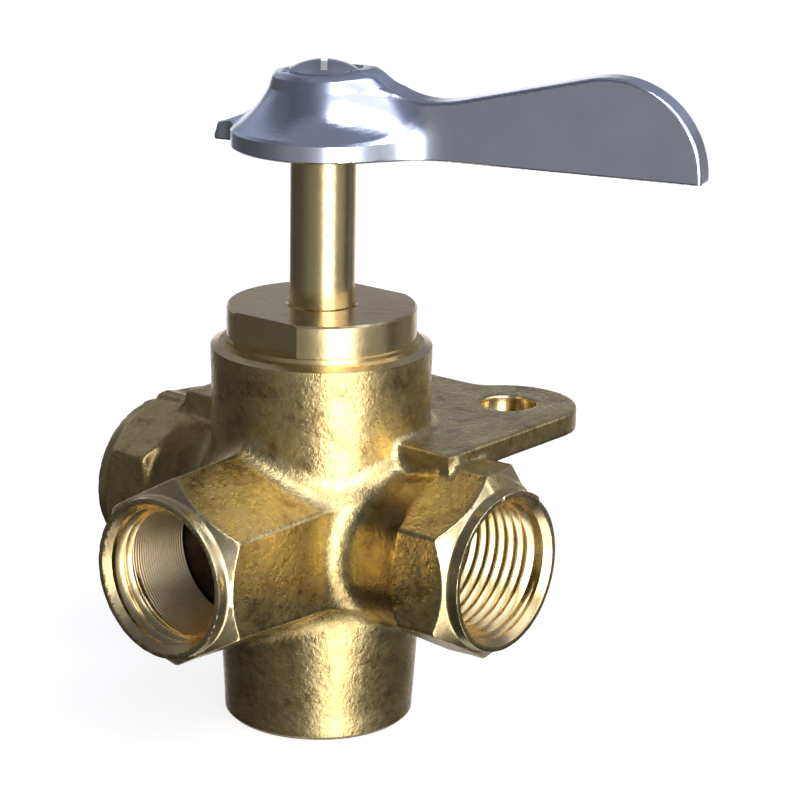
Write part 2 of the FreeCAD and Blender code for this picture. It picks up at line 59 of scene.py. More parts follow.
# Body forging
FOOT_R = 11.8
FOOT_CHAMFER = 0.5
BARREL_R = 13.6
TAPER_TOP = 26.5
BODY_TOP = 48.0
RIM_BEVEL = (1.0, 0.4)            # inward and down
PORT_Z = 24.8
PORT_ANGLES = {"a": -90.0, "b": 0.0, "c": 180.0}
PORT_FACE = 29.2
PORT_ROOT = 4.0                   # where the front port's forging begins inside the barrel
HEX_HALF = 10.2
HEX_DRAFT = math.radians(2.1)
HEX_CORNER_SOFTNESS = 0.4
TURNED_START = 27.35
TURNED_EDGE = 0.12
CONE_SLOPE = math.tan(math.radians(39.0))
LIP_R = 9.7
LIP_EDGE = 0.25
FACE_EDGE = 0.15
NECK_FILLET = 2.4
ROUND_NECK_FILLET = 3.2
ROUND_NECK = ((12.0, 9.4), (20.0, 10.67))   # distance out and radius, at both ends
ROUND_NECK_STEP = math.radians(65.0)
ROUND_NECK_SOFTNESS = 0.5
ROUND_NECK_EDGE = 0.4
RIDGE = (-0.9, 5.6, 36.2)         # front, back and top
RIDGE_EDGE = 0.25
RIDGE_SOFTNESS = 0.8
SKIN_WAVES = ((11.0, 0.014), (6.0, 0.008), (3.6, 0.004))   # length and depth
SKIN_WAVES_EACH = 3
SKIN_MARGIN = 1.0                 # bare strip beside a machined end
SKIN_FADE = 2.0
BEYOND_AXIS = -30                 # where a turned outline closes, past the axis

# Machined holes
THREAD_R = 8.3
PORT_DEPTH = 13.5
FOOT_DEPTH = 12.0
FOOT_PASSAGE_TOP = 20
MOUTH_R = 9.1
MOUTH_DEPTH = 2
PASSAGE_R = 3.8
CHAMBER_R = 9.2
CHAMBER_MIDDLE = 27
CHAMBER_HALF_H = 12.5
CAP_FOOT = 39.2
CAP_PLAY = 0.5
CAP_BORE_R = 10.05
GLAND_R = 11.3
GLAND_DEPTH = 3
CUT_EDGE = 0.06

# Threads
THREAD_PITCH = 25.4 / 18
THREAD_LENGTHS = {"a": 5.0, "b": 12.9, "c": 12.9}
THREAD_START = 1.4
FOOT_THREAD_START = 1.7
FOOT_THREAD_MARGIN = 0.8
THREAD_SECTION = [
    (0.08, 0.71), (0.0, 0.67), (-0.64, 0.1), (-0.7, 0.0), (-0.64, -0.1), (0.0, -0.67),
    (0.08, -0.71)]                # outward and along the axis
THREAD_STEPS = 72                 # in one turn
THREAD_RUN_IN = 0.35              # turns
THREAD_RUN_OUT = 0.7
THREAD_SINK = 0.04                # how far a run-out end lies in the wall
THREAD_SHARP = math.radians(50)

# Ear plate
PLATE_TOP = 37.9
PLATE_T = 3.0
PLATE_HALF_W = 21.4
PLATE_FRONT = -1.7
PLATE_BACK = 26.0
PLATE_EDGE = 0.5
PLATE_SOFTNESS = 1.4
NOTCH_SOFTNESS = 1.6
EAR_X = 12.7
EAR_Y = 21.6
EAR_HOLE_R = 3.55
EAR_HOLE_EDGE = 0.3
EAR_HOLE_FLOOR = 30               # the holes are cut above this height

# Finishes of the casting's faces, and the painted shade deep in its bores, in the order of its
# materials
FORGED, CUT, BRUSHED, BORE_SHADE = range(4)
TOP_CUT = 0.5                     # how far each cut reaches from its edge, face or wall
FOOT_CUT = 0.2
GLAND_CUT = 1
FOOT_PASSAGE_CUT = 8
WALL_REACH = 0.3
EAR_HOLE_REACH = 0.15
TURNED_REACH = 0.06
FACE_CUT = 1
TURNED_FROM = 20                  # distances out along a port
BORE_FROM = 10
BORE_SHADE_FROM = 3
BRUSHED_MARGIN = 2

# Lever, laid out with its blade along +X before it is turned to rest
LEVER_TURN = math.radians(17.0)
LEVER_FOOT = 72.0
LEVER_FOOT_EDGE = 0.25
DISC_R = 11.2
DISC_T = 2.5
DISC_EDGE = 0.35
BELL_MIDDLE = (8.3, 4.8)          # radius and height over the foot
BELL_TOP = (6.6, 7.4)
BELL_STEPS = 12
HUB_H = 9.1
HUB_TOP_R = 6.2
HUB_BEYOND_AXIS = -20
SINK_R = 4.75
SINK_DEPTH = 0.9
SINK_EDGE = 0.3
SQUARE_HALF = 2.8
SQUARE_DEPTH = 6.9
SCREW_HOLE_R = 2.2
BLADE_HALF_T = 1.8
BLADE_EDGE = 0.45
BLADE_MELT = 6.5
BLADE_UNDER = 3                   # how far the outline reaches below the foot
TIP = (36.3, 72.3)
TIP_R = 11.2
TIP_STEPS = 40
DIP_X = 14.0
DIP_H = 6.95
DIP_R = 18.0
DIP_STEPS = 10
NUB_SIDE = [(2, -2), (-14.1, -2), (-14.1, 0.6), (-13.6, 2.1), (-9.1, 3.4), (2, 3.4)]
NUB_HALF_T = 1.8
NUB_X = 9
NUB_TAPER = 0.16
NUB_EDGE = 0.4
NUB_MELT = 1.5

# Nets that the two cast pieces are meshed on
CASTING_LOW = (-30.13, -30.17, -1.11)
CASTING_HIGH = (30.4, 31.5, 49)
CASTING_STEP = 0.42
LEVER_LOW = (-15.11, -13.07, 71.12)
LEVER_HIGH = (48, 18, 85)
LEVER_STEP = 0.35
COARSE = 4                        # fine cells along a coarse one
NEAR = 8                          # fine cells within which the distance is exact
BATCH = 400000
SEARCHES = 3
FIRMNESS = 0.02                   # holds a corner near the middle of its crossings
CELL_SPILL = (0.05, 1.05)
PROBE_CORNER, PROBE_CENTRE = 0.72, 0.28


def arc(centre, radius, start, end, steps):
    """Points of an arc in a plane, angles in degrees."""
    angles = np.radians(np.linspace(start, end, steps))
    return [(centre[0] + radius * math.cos(a), centre[1] + radius * math.sin(a)) for a in angles]


def outline_distance(u, v, outline):
    """Signed distance to a closed outline, negative inside."""
    best = np.full(u.shape, 1e9, np.float32)
    inside = np.zeros(u.shape, bool)
    for (u0, v0), (u1, v1) in zip(outline, outline[1:] + outline[:1]):
        du, dv = u1 - u0, v1 - v0
        if du * du + dv * dv < 1e-12:
            continue
        pu, pv = u - u0, v - v0
        along = np.clip((pu * du + pv * dv) / (du * du + dv * dv), 0, 1)
        best = np.minimum(best, (pu - along * du) ** 2 + (pv - along * dv) ** 2)
        if dv != 0:
            inside ^= ((v0 <= v) != (v1 <= v)) & (pu < pv * (du / dv))
    return np.sqrt(best) * np.where(inside, -1, 1)


def slab(flat, across, rounding):
    """Joins a distance in a plane and one across it into a solid with rounded edges."""
    a, b = flat + rounding, across + rounding
    outside = np.sqrt(np.maximum(a, 0) ** 2 + np.maximum(b, 0) ** 2)
    return outside + np.minimum(np.maximum(a, b), 0) - rounding


def melt(a, b, width):
    """Union of two solids with a soft fillet between them."""
    share = np.maximum(width - np.abs(a - b), 0) / width
    return np.minimum(a, b) - share * share * width / 4


def fillet(a, b, radius):
    """Union of two solids with a round fillet of one radius between them."""
    inner = np.maximum(radius - a, 0) ** 2 + np.maximum(radius - b, 0) ** 2
    return np.maximum(np.minimum(a, b), radius) - np.sqrt(inner)


def common(a, b, width):
    """What two solids share, the edges between them softened."""
    return -melt(-a, -b, width)


def trim(a, b, width=CUT_EDGE):
    """Solid a without solid b, the new edges broken by a little."""
    return -melt(-a, b, width)


def revolved(x, y, z, outline):
    """Solid turned about Z from an outline of radius and height."""
    return outline_distance(np.hypot(x, y), z, outline)


def along_port(angle, x, y):
    """Distance out along a port and across it."""
    c, s = math.cos(math.radians(angle)), math.sin(math.radians(angle))
    return x * c + y * s, y * c - x * s


def ear_distance(x, y):
    """Distance in the plate's plane from the nearer ear's hole."""
    return np.hypot(np.abs(x) - EAR_X, y - EAR_Y)


# Shapes of the body casting

def port_solid(out, across, up):
    """One drafted hexagon port with its end turned round, along the direction out."""
    half = HEX_HALF + (TURNED_START - out) * math.tan(HEX_DRAFT)
    tilt = np.abs(up) * math.cos(math.pi / 6)
    lean = across * 0.5
    flats = common(tilt + lean, tilt - lean, HEX_CORNER_SOFTNESS)
    flats = common(flats, np.abs(across), HEX_CORNER_SOFTNESS) - half
    return common(flats, turned_end(out, across, up), TURNED_EDGE)


def round_neck(out, across, up):
    """Tapering round neck behind the hexagon of a port in line, opening past its corners."""
    (x0, r0), (x1, r1) = ROUND_NECK
    slope = (r1 - r0) / (x1 - x0)
    radius = np.hypot(across, up)
    taper = (radius - r0 - (out - x0) * slope) / math.hypot(1, slope)
    step = (radius - r1) * math.cos(ROUND_NECK_STEP) - (out - x1) * math.sin(ROUND_NECK_STEP)
    return melt(taper, step, ROUND_NECK_SOFTNESS)


def turned_end(out, across, up):
    """What the lathe leaves of a port: a short round lip and a cone behind it."""
    radius = np.hypot(across, up)
    cone = ((radius - HEX_HALF) * CONE_SLOPE + out - TURNED_START) / math.hypot(1, CONE_SLOPE)
    side = melt(cone, radius - LIP_R, LIP_EDGE)
    return common(side, out - PORT_FACE, FACE_EDGE)


def ridge_solid(x, y, z):
    """Pad under the plate along the tops of the two ports in line."""
    front, back, top = RIDGE
    flat = np.maximum(np.abs(y - (front + back) / 2) - (back - front) / 2, PORT_Z - z)
    bar = slab(flat, z - top, RIDGE_EDGE)
    return common(bar, turned_end(np.abs(x), y, z - PORT_Z), TURNED_EDGE)


def plate_solid(x, y, z):
    """Flat plate with two round ears and a shallow notch between them."""
    ear = ear_distance(x, y) - (PLATE_HALF_W - EAR_X)
    mid_y = (PLATE_FRONT + EAR_Y) / 2
    front = np.maximum(np.abs(x) - PLATE_HALF_W, np.abs(y - mid_y) - (EAR_Y - mid_y))
    web = np.maximum(np.abs(x) - EAR_X, np.abs(y - PLATE_BACK / 2) - PLATE_BACK / 2)
    flat = melt(np.minimum(ear, front), web, NOTCH_SOFTNESS)
    middle = PLATE_TOP - PLATE_T / 2
    return slab(flat, np.abs(z - middle) - PLATE_T / 2, PLATE_EDGE)


def mouth(radius, depth, length):
    """Thread bore with a countersunk mouth, depth counted inward from the face."""
    bore = np.maximum(radius - THREAD_R, depth - length)
    sink = (radius - MOUTH_R + depth) / math.sqrt(2)
    return np.minimum(bore, np.maximum(sink, depth - MOUTH_DEPTH))


def forged_skin(x, y, z):
    """Shallow waviness of a forged surface, always inward."""
    waves = np.zeros(x.shape, np.float32)
    dice = np.random.default_rng(SEED)
    deepest = 0
    for length, depth in SKIN_WAVES:
        for _ in range(SKIN_WAVES_EACH):
            way = dice.normal(size=3)
            way *= 2 * math.pi / length / np.linalg.norm(way)
            waves += depth * np.sin(x * way[0] + y * way[1] + z * way[2] + dice.uniform(0, 6.3))
            deepest += depth
    return waves + deepest


def skin_share(x, y, z):
    """Share of the forged skin at each point, none where the body is machined."""
    share = np.clip((BODY_TOP - SKIN_FADE - z) / SKIN_FADE, 0, 1)
    for angle in PORT_ANGLES.values():
        out, _ = along_port(angle, x, y)
        share = np.minimum(share, np.clip((TURNED_START - SKIN_MARGIN - out) / SKIN_FADE, 0, 1))
    return np.minimum(share, np.clip((z - SKIN_MARGIN) / SKIN_FADE, 0, 1))


def body_forging(x, y, z):
    """Body as it is forged, with its port ends turned but no hole cut."""
    profile = [
        (BEYOND_AXIS, 0), (FOOT_R - FOOT_CHAMFER, 0), (FOOT_R, FOOT_CHAMFER),
        (BARREL_R, TAPER_TOP), (BARREL_R, BODY_TOP - RIM_BEVEL[1]),
        (BARREL_R - RIM_BEVEL[0], BODY_TOP), (BEYOND_AXIS, BODY_TOP)]
    barrel = revolved(x, y, z, profile)
    front = np.maximum(port_solid(-y, x, z - PORT_Z), PORT_ROOT + y)
    line = port_solid(np.abs(x), y, z - PORT_Z)
    line = common(line, round_neck(np.abs(x), y, z - PORT_Z), ROUND_NECK_EDGE)
    solid = fillet(barrel, front, NECK_FILLET)
    solid = fillet(solid, line, ROUND_NECK_FILLET)
    solid = melt(solid, plate_solid(x, y, z), PLATE_SOFTNESS)
    solid = melt(solid, ridge_solid(x, y, z), RIDGE_SOFTNESS)
    return solid + forged_skin(x, y, z) * skin_share(x, y, z)


def body_solid(x, y, z):
    """The forging with its ports, chamber, gland and ear holes cut."""
    solid = body_forging(x, y, z)
    axis = np.hypot(x, y)
    for angle in PORT_ANGLES.values():
        out, across = along_port(angle, x, y)
        radius = np.hypot(across, z - PORT_Z)
        solid = trim(solid, np.maximum(mouth(radius, PORT_FACE - out, PORT_DEPTH), -out))
        solid = trim(solid, np.maximum(radius - PASSAGE_R, -out))
    foot_bore = np.minimum(
        np.maximum(axis - THREAD_R, z - FOOT_DEPTH),
        np.maximum(axis - PASSAGE_R, z - FOOT_PASSAGE_TOP))
    solid = trim(solid, foot_bore)
    chamber = np.maximum(axis - CHAMBER_R, np.abs(z - CHAMBER_MIDDLE) - CHAMBER_HALF_H)
    solid = trim(solid, chamber)
    gland = np.maximum(axis - CAP_BORE_R, CAP_FOOT - CAP_PLAY - z)
    bevel = (axis - GLAND_R + BODY_TOP - z) / math.sqrt(2)
    gland = np.minimum(gland, np.maximum(bevel, BODY_TOP - GLAND_DEPTH - z))
    solid = trim(solid, gland)
    hole = ear_distance(x, y) - EAR_HOLE_R
    return trim(solid, np.maximum(hole, -z + EAR_HOLE_FLOOR), EAR_HOLE_EDGE)


def finish_or_shade_of(x, y, z):
    """Finish at each point of the casting's surface, or painted shade deep in a bore."""
    axis = np.hypot(x, y)
    cut = (z > BODY_TOP - TOP_CUT) | (z < FOOT_CUT)
    cut |= (axis < GLAND_R) & (z > CAP_FOOT - GLAND_CUT)
    cut |= (axis < THREAD_R + WALL_REACH) & (z < FOOT_DEPTH + FOOT_PASSAGE_CUT)
    cut |= ear_distance(x, y) < EAR_HOLE_R + EAR_HOLE_REACH
    finish_or_shade = np.full(x.shape, FORGED, np.int32)
    for label, angle in PORT_ANGLES.items():
        out, across = along_port(angle, x, y)
        bore = np.hypot(across, z - PORT_Z) < THREAD_R + WALL_REACH
        turned = np.abs(turned_end(out, across, z - PORT_Z)) < TURNED_REACH
        cut |= (out > TURNED_FROM) & turned
        cut |= (out > PORT_FACE - FACE_CUT) | (bore & (out > BORE_FROM))
        if label == "a":
            finish_or_shade[bore & (out > BORE_FROM) & (out < PORT_FACE - BRUSHED_MARGIN)] = BRUSHED
        # Painted shade: a dark brass colour on the bore floors and the passages
        finish_or_shade[bore & (out > BORE_SHADE_FROM) & (out < PORT_FACE - PORT_DEPTH + WALL_REACH)] = BORE_SHADE
    finish_or_shade[cut & (finish_or_shade == FORGED)] = CUT
    return finish_or_shade


# Shapes of the lever

def circle_through(p, q, r):
    """Centre and radius of the circle through three points."""
    (ax, ay), (bx, by), (cx, cy) = p, q, r
    d = 2 * (ax * (by - cy) + bx * (cy - ay) + cx * (ay - by))
    a2, b2, c2 = ax * ax + ay * ay, bx * bx + by * by, cx * cx + cy * cy
    u = (a2 * (by - cy) + b2 * (cy - ay) + c2 * (ay - by)) / d
    v = (a2 * (cx - bx) + b2 * (ax - cx) + c2 * (bx - ax)) / d
    return (u, v), math.hypot(ax - u, ay - v)


def arc_through(p, q, r, steps):
    """Points of the arc from p through q to r."""
    centre, radius = circle_through(p, q, r)
    start = math.degrees(math.atan2(p[1] - centre[1], p[0] - centre[0]))
    end = math.degrees(math.atan2(r[1] - centre[1], r[0] - centre[0]))
    if end - start > 180:
        end -= 360
    if start - end > 180:
        end += 360
    return arc(centre, radius, start, end, steps)


def hub_profile():
    """Half section of the disc and the bell-shaped hub, as radius and height."""
    z = LEVER_FOOT
    bell = arc_through(
        (DISC_R - DISC_EDGE, z + DISC_T), (BELL_MIDDLE[0], z + BELL_MIDDLE[1]),
        (BELL_TOP[0], z + BELL_TOP[1]), BELL_STEPS)
    return [
        (HUB_BEYOND_AXIS, z), (DISC_R - DISC_EDGE, z), (DISC_R, z + DISC_EDGE),
        (DISC_R, z + DISC_T - DISC_EDGE), *bell, (HUB_TOP_R, z + HUB_H - DISC_EDGE),
        (HUB_TOP_R - DISC_EDGE, z + HUB_H), (HUB_BEYOND_AXIS, z + HUB_H)]


def blade_profile():
    """Side outline of the blade: hollow top near the hub, straight rise and one round tip."""
    dip = (DIP_X, LEVER_FOOT + DIP_H + DIP_R)
    gap = (TIP[0] - dip[0], TIP[1] - dip[1])
    rise = math.atan2(gap[1], gap[0]) + math.asin((DIP_R + TIP_R) / math.hypot(*gap))
    slope = math.degrees(rise)
    hollow = arc(dip, DIP_R, 270 - slope, 270 + slope, DIP_STEPS)
    under = LEVER_FOOT - BLADE_UNDER
    end = math.degrees(math.asin((under - TIP[1]) / TIP_R))
    tip = arc(TIP, TIP_R, 90 + slope, end, TIP_STEPS)
    return [(0, under), (0, hollow[0][1]), *hollow, *tip]


def lever_solid(x, y, z):
    """Lever with its nub, the sink for the screw, the square and the screw hole."""
    c, s = math.cos(LEVER_TURN), math.sin(LEVER_TURN)
    x, y = x * c + y * s, y * c - x * s
    bell = revolved(x, y, z, hub_profile())
    side = outline_distance(x, z, blade_profile())
    solid = melt(bell, slab(side, np.abs(y) - BLADE_HALF_T, BLADE_EDGE), BLADE_MELT)
    side = outline_distance(x, z, [(px, LEVER_FOOT + pz) for px, pz in NUB_SIDE])
    nub = slab(side, np.abs(y) - NUB_HALF_T - (x + NUB_X) * NUB_TAPER, NUB_EDGE)
    solid = melt(solid, nub, NUB_MELT)
    solid = common(solid, LEVER_FOOT - z, LEVER_FOOT_EDGE)
    radius = np.hypot(x, y)
    sink = np.maximum(radius - SINK_R, LEVER_FOOT + HUB_H - SINK_DEPTH - z)
    solid = trim(solid, sink, SINK_EDGE)
    square = np.maximum(np.abs(x), np.abs(y)) - SQUARE_HALF
    square = np.maximum(square, z - LEVER_FOOT - SQUARE_DEPTH)
    return trim(solid, np.minimum(square, radius - SCREW_HOLE_R))


# Meshing of a solid given as a distance

class Net:
    """Turns a signed distance into a mesh that keeps creases sharp."""

    def __init__(self, distance, low, high, step):
        self.distance = distance
        self.step = step
        self.low = np.array(low, np.float32)
        count = np.ceil((np.array(high) - self.low) / step).astype(int) + 1
        self.count = (count + COARSE - 1) // COARSE * COARSE + 1

    def place(self, index):
        """Where grid points lie, in millimetres."""
        return self.low + index.astype(np.float32) * self.step

    def at(self, p):
        """Distance at each point."""
        return self.distance(p[:, 0], p[:, 1], p[:, 2]).astype(np.float32)

    def gradient(self, p, reach=0.02):
        """Direction out of the solid at each point."""
        g = np.empty_like(p)
        for axis in range(3):
            shift = np.zeros(3, np.float32)
            shift[axis] = reach
            g[:, axis] = self.at(p + shift) - self.at(p - shift)
        return g / np.maximum(np.linalg.norm(g, axis=1, keepdims=True), 1e-9)

    def sample(self):
        """Distances on the grid: exact near the surface, rough and only of the right sign away."""
        coarse = (self.count - 1) // COARSE + 1
        grid = np.stack(np.meshgrid(*[np.arange(n) for n in coarse], indexing="ij"), -1)
        rough = self.at(self.place(grid.reshape(-1, 3) * COARSE)).reshape(coarse)
        wide = np.abs(rough) < self.step * NEAR
        for axis in range(3):
            n = wide.shape[axis]
            front = np.take(wide, range(1, n), axis)
            back = np.take(wide, range(0, n - 1), axis)
            shape = list(wide.shape)
            shape[axis] = 1
            edge = np.zeros(shape, bool)
            wide = wide | np.concatenate([front, edge], axis) | np.concatenate([edge, back], axis)
        fine = self.refined(rough)
        where = np.argwhere(self.refined(wide))
        for part in np.array_split(where, max(1, len(where) // BATCH)):
            fine[tuple(part.T)] = self.at(self.place(part))
        return fine

    def refined(self, grid):
        """Coarse grid repeated on the fine one."""
        for axis in range(3):
            grid = grid.repeat(COARSE, axis)
        return grid[tuple(slice(0, n) for n in self.count)].copy()

    def mesh(self):
        """Corners and faces with four corners, one corner in each cell that the surface crosses."""
        values = self.sample()
        inside = values < 0
        crossings, faces = [], []
        cells = self.count - 1
        for axis in range(3):
            lo = [slice(None)] * 3
            hi = [slice(None)] * 3
            lo[axis], hi[axis] = slice(0, -1), slice(1, None)
            change = inside[tuple(lo)] != inside[tuple(hi)]
            index = np.argwhere(change)
            step = np.zeros(3, int)
            step[axis] = 1
            a = values[tuple(index.T)]
            b = values[tuple((index + step).T)]
            p0, p1 = self.place(index), self.place(index + step)
            share = np.clip(a / (a - b), 0, 1)[:, None]
            left, right = np.zeros_like(share), np.ones_like(share)
            for _ in range(SEARCHES):
                d = self.at(p0 + (p1 - p0) * share)
                same = (d < 0) == (a < 0)
                left = np.where(same[:, None], share, left)
                right = np.where(same[:, None], right, share)
                pull = share + (np.where(a < 0, 1, -1) * -d / self.step)[:, None]
                share = np.where((pull > left) & (pull < right), pull, (left + right) / 2)
            point = p0 + (p1 - p0) * share
            u, v = (axis + 1) % 3, (axis + 2) % 3
            ring = []
            for du, dv in ((0, 0), (-1, 0), (-1, -1), (0, -1)):
                cell = index.copy()
                cell[:, u] += du
                cell[:, v] += dv
                ring.append(cell[:, 0] * cells[1] * cells[2] + cell[:, 1] * cells[2] + cell[:, 2])
            ring = np.stack(ring, 1)
            ring[a > 0] = ring[a > 0][:, ::-1]
            faces.append(ring)
            crossings.append(point)
        point = np.concatenate(crossings)
        normal = self.gradient(point)
        faces = np.concatenate(faces)
        names, faces = np.unique(faces, return_inverse=True)
        faces = faces.reshape(-1, 4)
        home = self.place(np.stack(np.unravel_index(names, tuple(cells)), 1))
        count = np.bincount(faces.ravel(), minlength=len(names)).astype(np.float64)
        total = np.zeros((len(names), 3))
        matrix = np.zeros((len(names), 3, 3))
        target = np.zeros((len(names), 3))
        for corner in range(4):
            f = faces[:, corner]
            for i in range(3):
                total[:, i] += np.bincount(f, point[:, i], len(names))
        middle = total / count[:, None]
        for corner in range(4):
            f = faces[:, corner]
            offset = ((point - middle[f]) * normal).sum(1)
            for i in range(3):
                target[:, i] += np.bincount(f, normal[:, i] * offset, len(names))
                for j in range(3):
                    matrix[:, i, j] += np.bincount(f, normal[:, i] * normal[:, j], len(names))
        matrix += np.eye(3) * FIRMNESS
        spot = middle + np.linalg.solve(matrix, target[:, :, None])[:, :, 0]
        low, high = (reach * self.step for reach in CELL_SPILL)
        return np.clip(spot, home - low, home + high).astype(np.float32), faces


def quad_piece(name, spots, faces):
    """New object from corners in millimetres and faces with four corners."""
    mesh = bpy.data.meshes.new(name)
    mesh.vertices.add(len(spots))
    mesh.vertices.foreach_set("co", (spots * MM).astype(np.float32).ravel())
    mesh.loops.add(faces.size)
    mesh.loops.foreach_set("vertex_index", faces.astype(np.int32).ravel())
    mesh.polygons.add(len(faces))
    mesh.polygons.foreach_set("loop_start", np.arange(0, faces.size, 4, dtype=np.int32))
    mesh.update(calc_edges=True)
    mesh.validate()
    mesh.polygons.foreach_set("use_smooth", np.ones(len(mesh.polygons), bool))
    piece = bpy.data.objects.new(name, mesh)
    bpy.context.scene.collection.objects.link(piece)
    return piece


def netted(name, distance, low, high, step):
    """Piece made from a distance, its shading normals read from the distance too."""
    net = Net(distance, low, high, step)
    spots, faces = net.mesh()
    spots = np.clip(spots, *(np.array(corner, np.float32) / MM for corner in CAD_BOX))
    corners = spots[faces]
    centre = corners.mean(1, keepdims=True)
    probe = (corners * PROBE_CORNER + centre * PROBE_CENTRE).reshape(-1, 3).astype(np.float32)
    normals = net.gradient(probe)
    piece = quad_piece(name, spots, faces)
    piece.data.normals_split_custom_set(normals.tolist())
    return piece


def dress_by_finish_or_shade(piece, materials):
    """Gives each face the material of its finish, or of the painted shade deep in a bore."""
    for material in materials:
        piece.data.materials.append(material)
    middle = np.empty(len(piece.data.polygons) * 3, np.float32)
    piece.data.polygons.foreach_get("center", middle)
    piece.data.polygons.foreach_set("material_index", finish_or_shade_of(*(middle.reshape(-1, 3) / MM).T))


def thread(name, direction, height, face, start, length):
    """Helical ridge of a pipe thread inside a bore, its ends run out into the wall."""
    turns = (length - start) / THREAD_PITCH
    steps = int(turns * THREAD_STEPS)
    spots = []
    for i in range(steps + 1):
        turn = i / THREAD_STEPS
        ease = min(1, turn / THREAD_RUN_IN, (turns - turn) / THREAD_RUN_OUT)
        ease = ease * ease * (3 - 2 * ease)
        angle = 2 * math.pi * turn
        for rise, wide in THREAD_SECTION:
            radius = THREAD_R + (rise if rise > 0 else rise * ease + (1 - ease) * THREAD_SINK)
            depth = face - start - turn * THREAD_PITCH + wide * (0.3 + 0.7 * ease)
            spots.append((radius * math.cos(-angle), radius * math.sin(-angle), depth))
    spots = np.array(spots, np.float32)
    n = len(THREAD_SECTION)
    faces = []
    for i in range(steps):
        for j in range(n):
            k = (j + 1) % n
            faces.append((i * n + j, (i + 1) * n + j, (i + 1) * n + k, i * n + k))
    spots = spots @ direction.T
    spots[:, 2] += height
    piece = quad_piece(name, spots, np.array(faces))
    close_ends(piece, n, steps)
    piece.data.set_sharp_from_angle(angle=THREAD_SHARP)
    return piece


def close_ends(piece, n, steps):
    """Closes the two ends of a swept piece."""
    bm = bmesh.new()
    bm.from_mesh(piece.data)
    bm.verts.ensure_lookup_table()
    bm.faces.new([bm.verts[j] for j in range(n)])
    bm.faces.new([bm.verts[steps * n + j] for j in reversed(range(n))])
    bmesh.ops.recalc_face_normals(bm, faces=bm.faces)
    for f in bm.faces:
        f.smooth = True
    bm.to_mesh(piece.data)
    bm.free()


# Materials

NOISE_SPAN = (0.3, 0.7)           # what a noise texture mostly covers
MIX_SHARE, MIX_FIRST, MIX_SECOND, MIX_RESULT = 0, 6, 7, 2   # sockets of a colour mix

# Painted shade on the round necks of the two ports in line, below the plate, where the skin is also
# rougher: its colour, then where it starts and is full, out along X and up along Z
NECK_SHADE_TINT = (0.52, 0.46, 0.42, 1)
NECK_SHADE_OUT = ((13.0, 15.5), (21.0, 19.5))
NECK_SHADE_UP = (35.0, 34.0)


def new_material(name, metallic, roughness):
    """New material with its node tree and shader."""
    material = bpy.data.materials.new(name)
    material.use_nodes = True
    shader = material.node_tree.nodes["Principled BSDF"]
    shader.inputs["Metallic"].default_value = metallic
    shader.inputs["Roughness"].default_value = roughness
    return material, material.node_tree, shader


def add(tree, kind, **values):
    """New node, with each value given to its setting or its input of that name."""
    node = tree.nodes.new(kind)
    for key, value in values.items():
        if hasattr(node, key):
            setattr(node, key, value)
        else:
            node.inputs[key.replace("_", " ")].default_value = value
    return node


def connect(tree, source, socket):
    """Links a socket, or sets it where the source is a plain value."""
    if isinstance(source, bpy.types.NodeSocket):
        tree.links.new(source, socket)
    else:
        socket.default_value = source


def coordinates(tree, kind="Object"):
    return tree.nodes.new("ShaderNodeTexCoord").outputs[kind]


def noise(tree, scale, detail=3.0, roughness=0.5):
    node = add(tree, "ShaderNodeTexNoise", Scale=scale, Detail=detail, Roughness=roughness)
    tree.links.new(coordinates(tree), node.inputs["Vector"])
    return node.outputs["Fac"]


def ramp(tree, source, stops):
    """Colour ramp through stops of place and colour."""
    node = tree.nodes.new("ShaderNodeValToRGB")
    elements = node.color_ramp.elements
    while len(elements) < len(stops):
        elements.new(0.5)
    for element, (place, colour) in zip(elements, stops):
        element.position = place
        element.color = (*colour, 1)
    tree.links.new(source, node.inputs["Fac"])
    return node.outputs["Color"]


def ranged(tree, source, span, low=0.0, high=1.0, kind="LINEAR"):
    """Maps a span of the source to the values from low to high."""
    node = add(tree, "ShaderNodeMapRange", interpolation_type=kind, From_Min=span[0],
               From_Max=span[1], To_Min=low, To_Max=high)
    tree.links.new(source, node.inputs["Value"])
    return node.outputs["Result"]


def scaled(tree, source, low, high):
    return ranged(tree, source, NOISE_SPAN, low, high)


def arithmetic(tree, operation, *sources):
    """Math node fed by sockets or plain numbers."""
    node = add(tree, "ShaderNodeMath", operation=operation)
    for source, socket in zip(sources, node.inputs):
        connect(tree, source, socket)
    return node.outputs[0]


def blend_colour(tree, share, first, second, kind="MIX"):
    """Mixes two colours, each a socket or a plain colour."""
    mix = add(tree, "ShaderNodeMix", data_type="RGBA", blend_type=kind)
    connect(tree, share, mix.inputs[MIX_SHARE])
    connect(tree, first, mix.inputs[MIX_FIRST])
    connect(tree, second, mix.inputs[MIX_SECOND])
    return mix.outputs[MIX_RESULT]


def bump(tree, shader, heights):
    """Stacks bumps, each a height source with its depth in millimetres."""
    normal = None
    for source, depth in heights:
        node = add(tree, "ShaderNodeBump", Strength=1.0, Distance=depth * MM)
        tree.links.new(source, node.inputs["Height"])
        if normal is not None:
            tree.links.new(normal, node.inputs["Normal"])
        normal = node.outputs["Normal"]
    tree.links.new(normal, shader.inputs["Normal"])


def painted_neck_shade(tree):
    """Share of the painted neck shade at each point."""
    apart = tree.nodes.new("ShaderNodeSeparateXYZ")
    tree.links.new(coordinates(tree), apart.inputs["Vector"])
    out = arithmetic(tree, "ABSOLUTE", apart.outputs["X"])
    share = 1.0
    for source, span in (*((out, span) for span in NECK_SHADE_OUT), (apart.outputs["Z"], NECK_SHADE_UP)):
        step = ranged(tree, source, [v * MM for v in span], kind="SMOOTHSTEP")
        share = arithmetic(tree, "MULTIPLY", step, share)
    return share


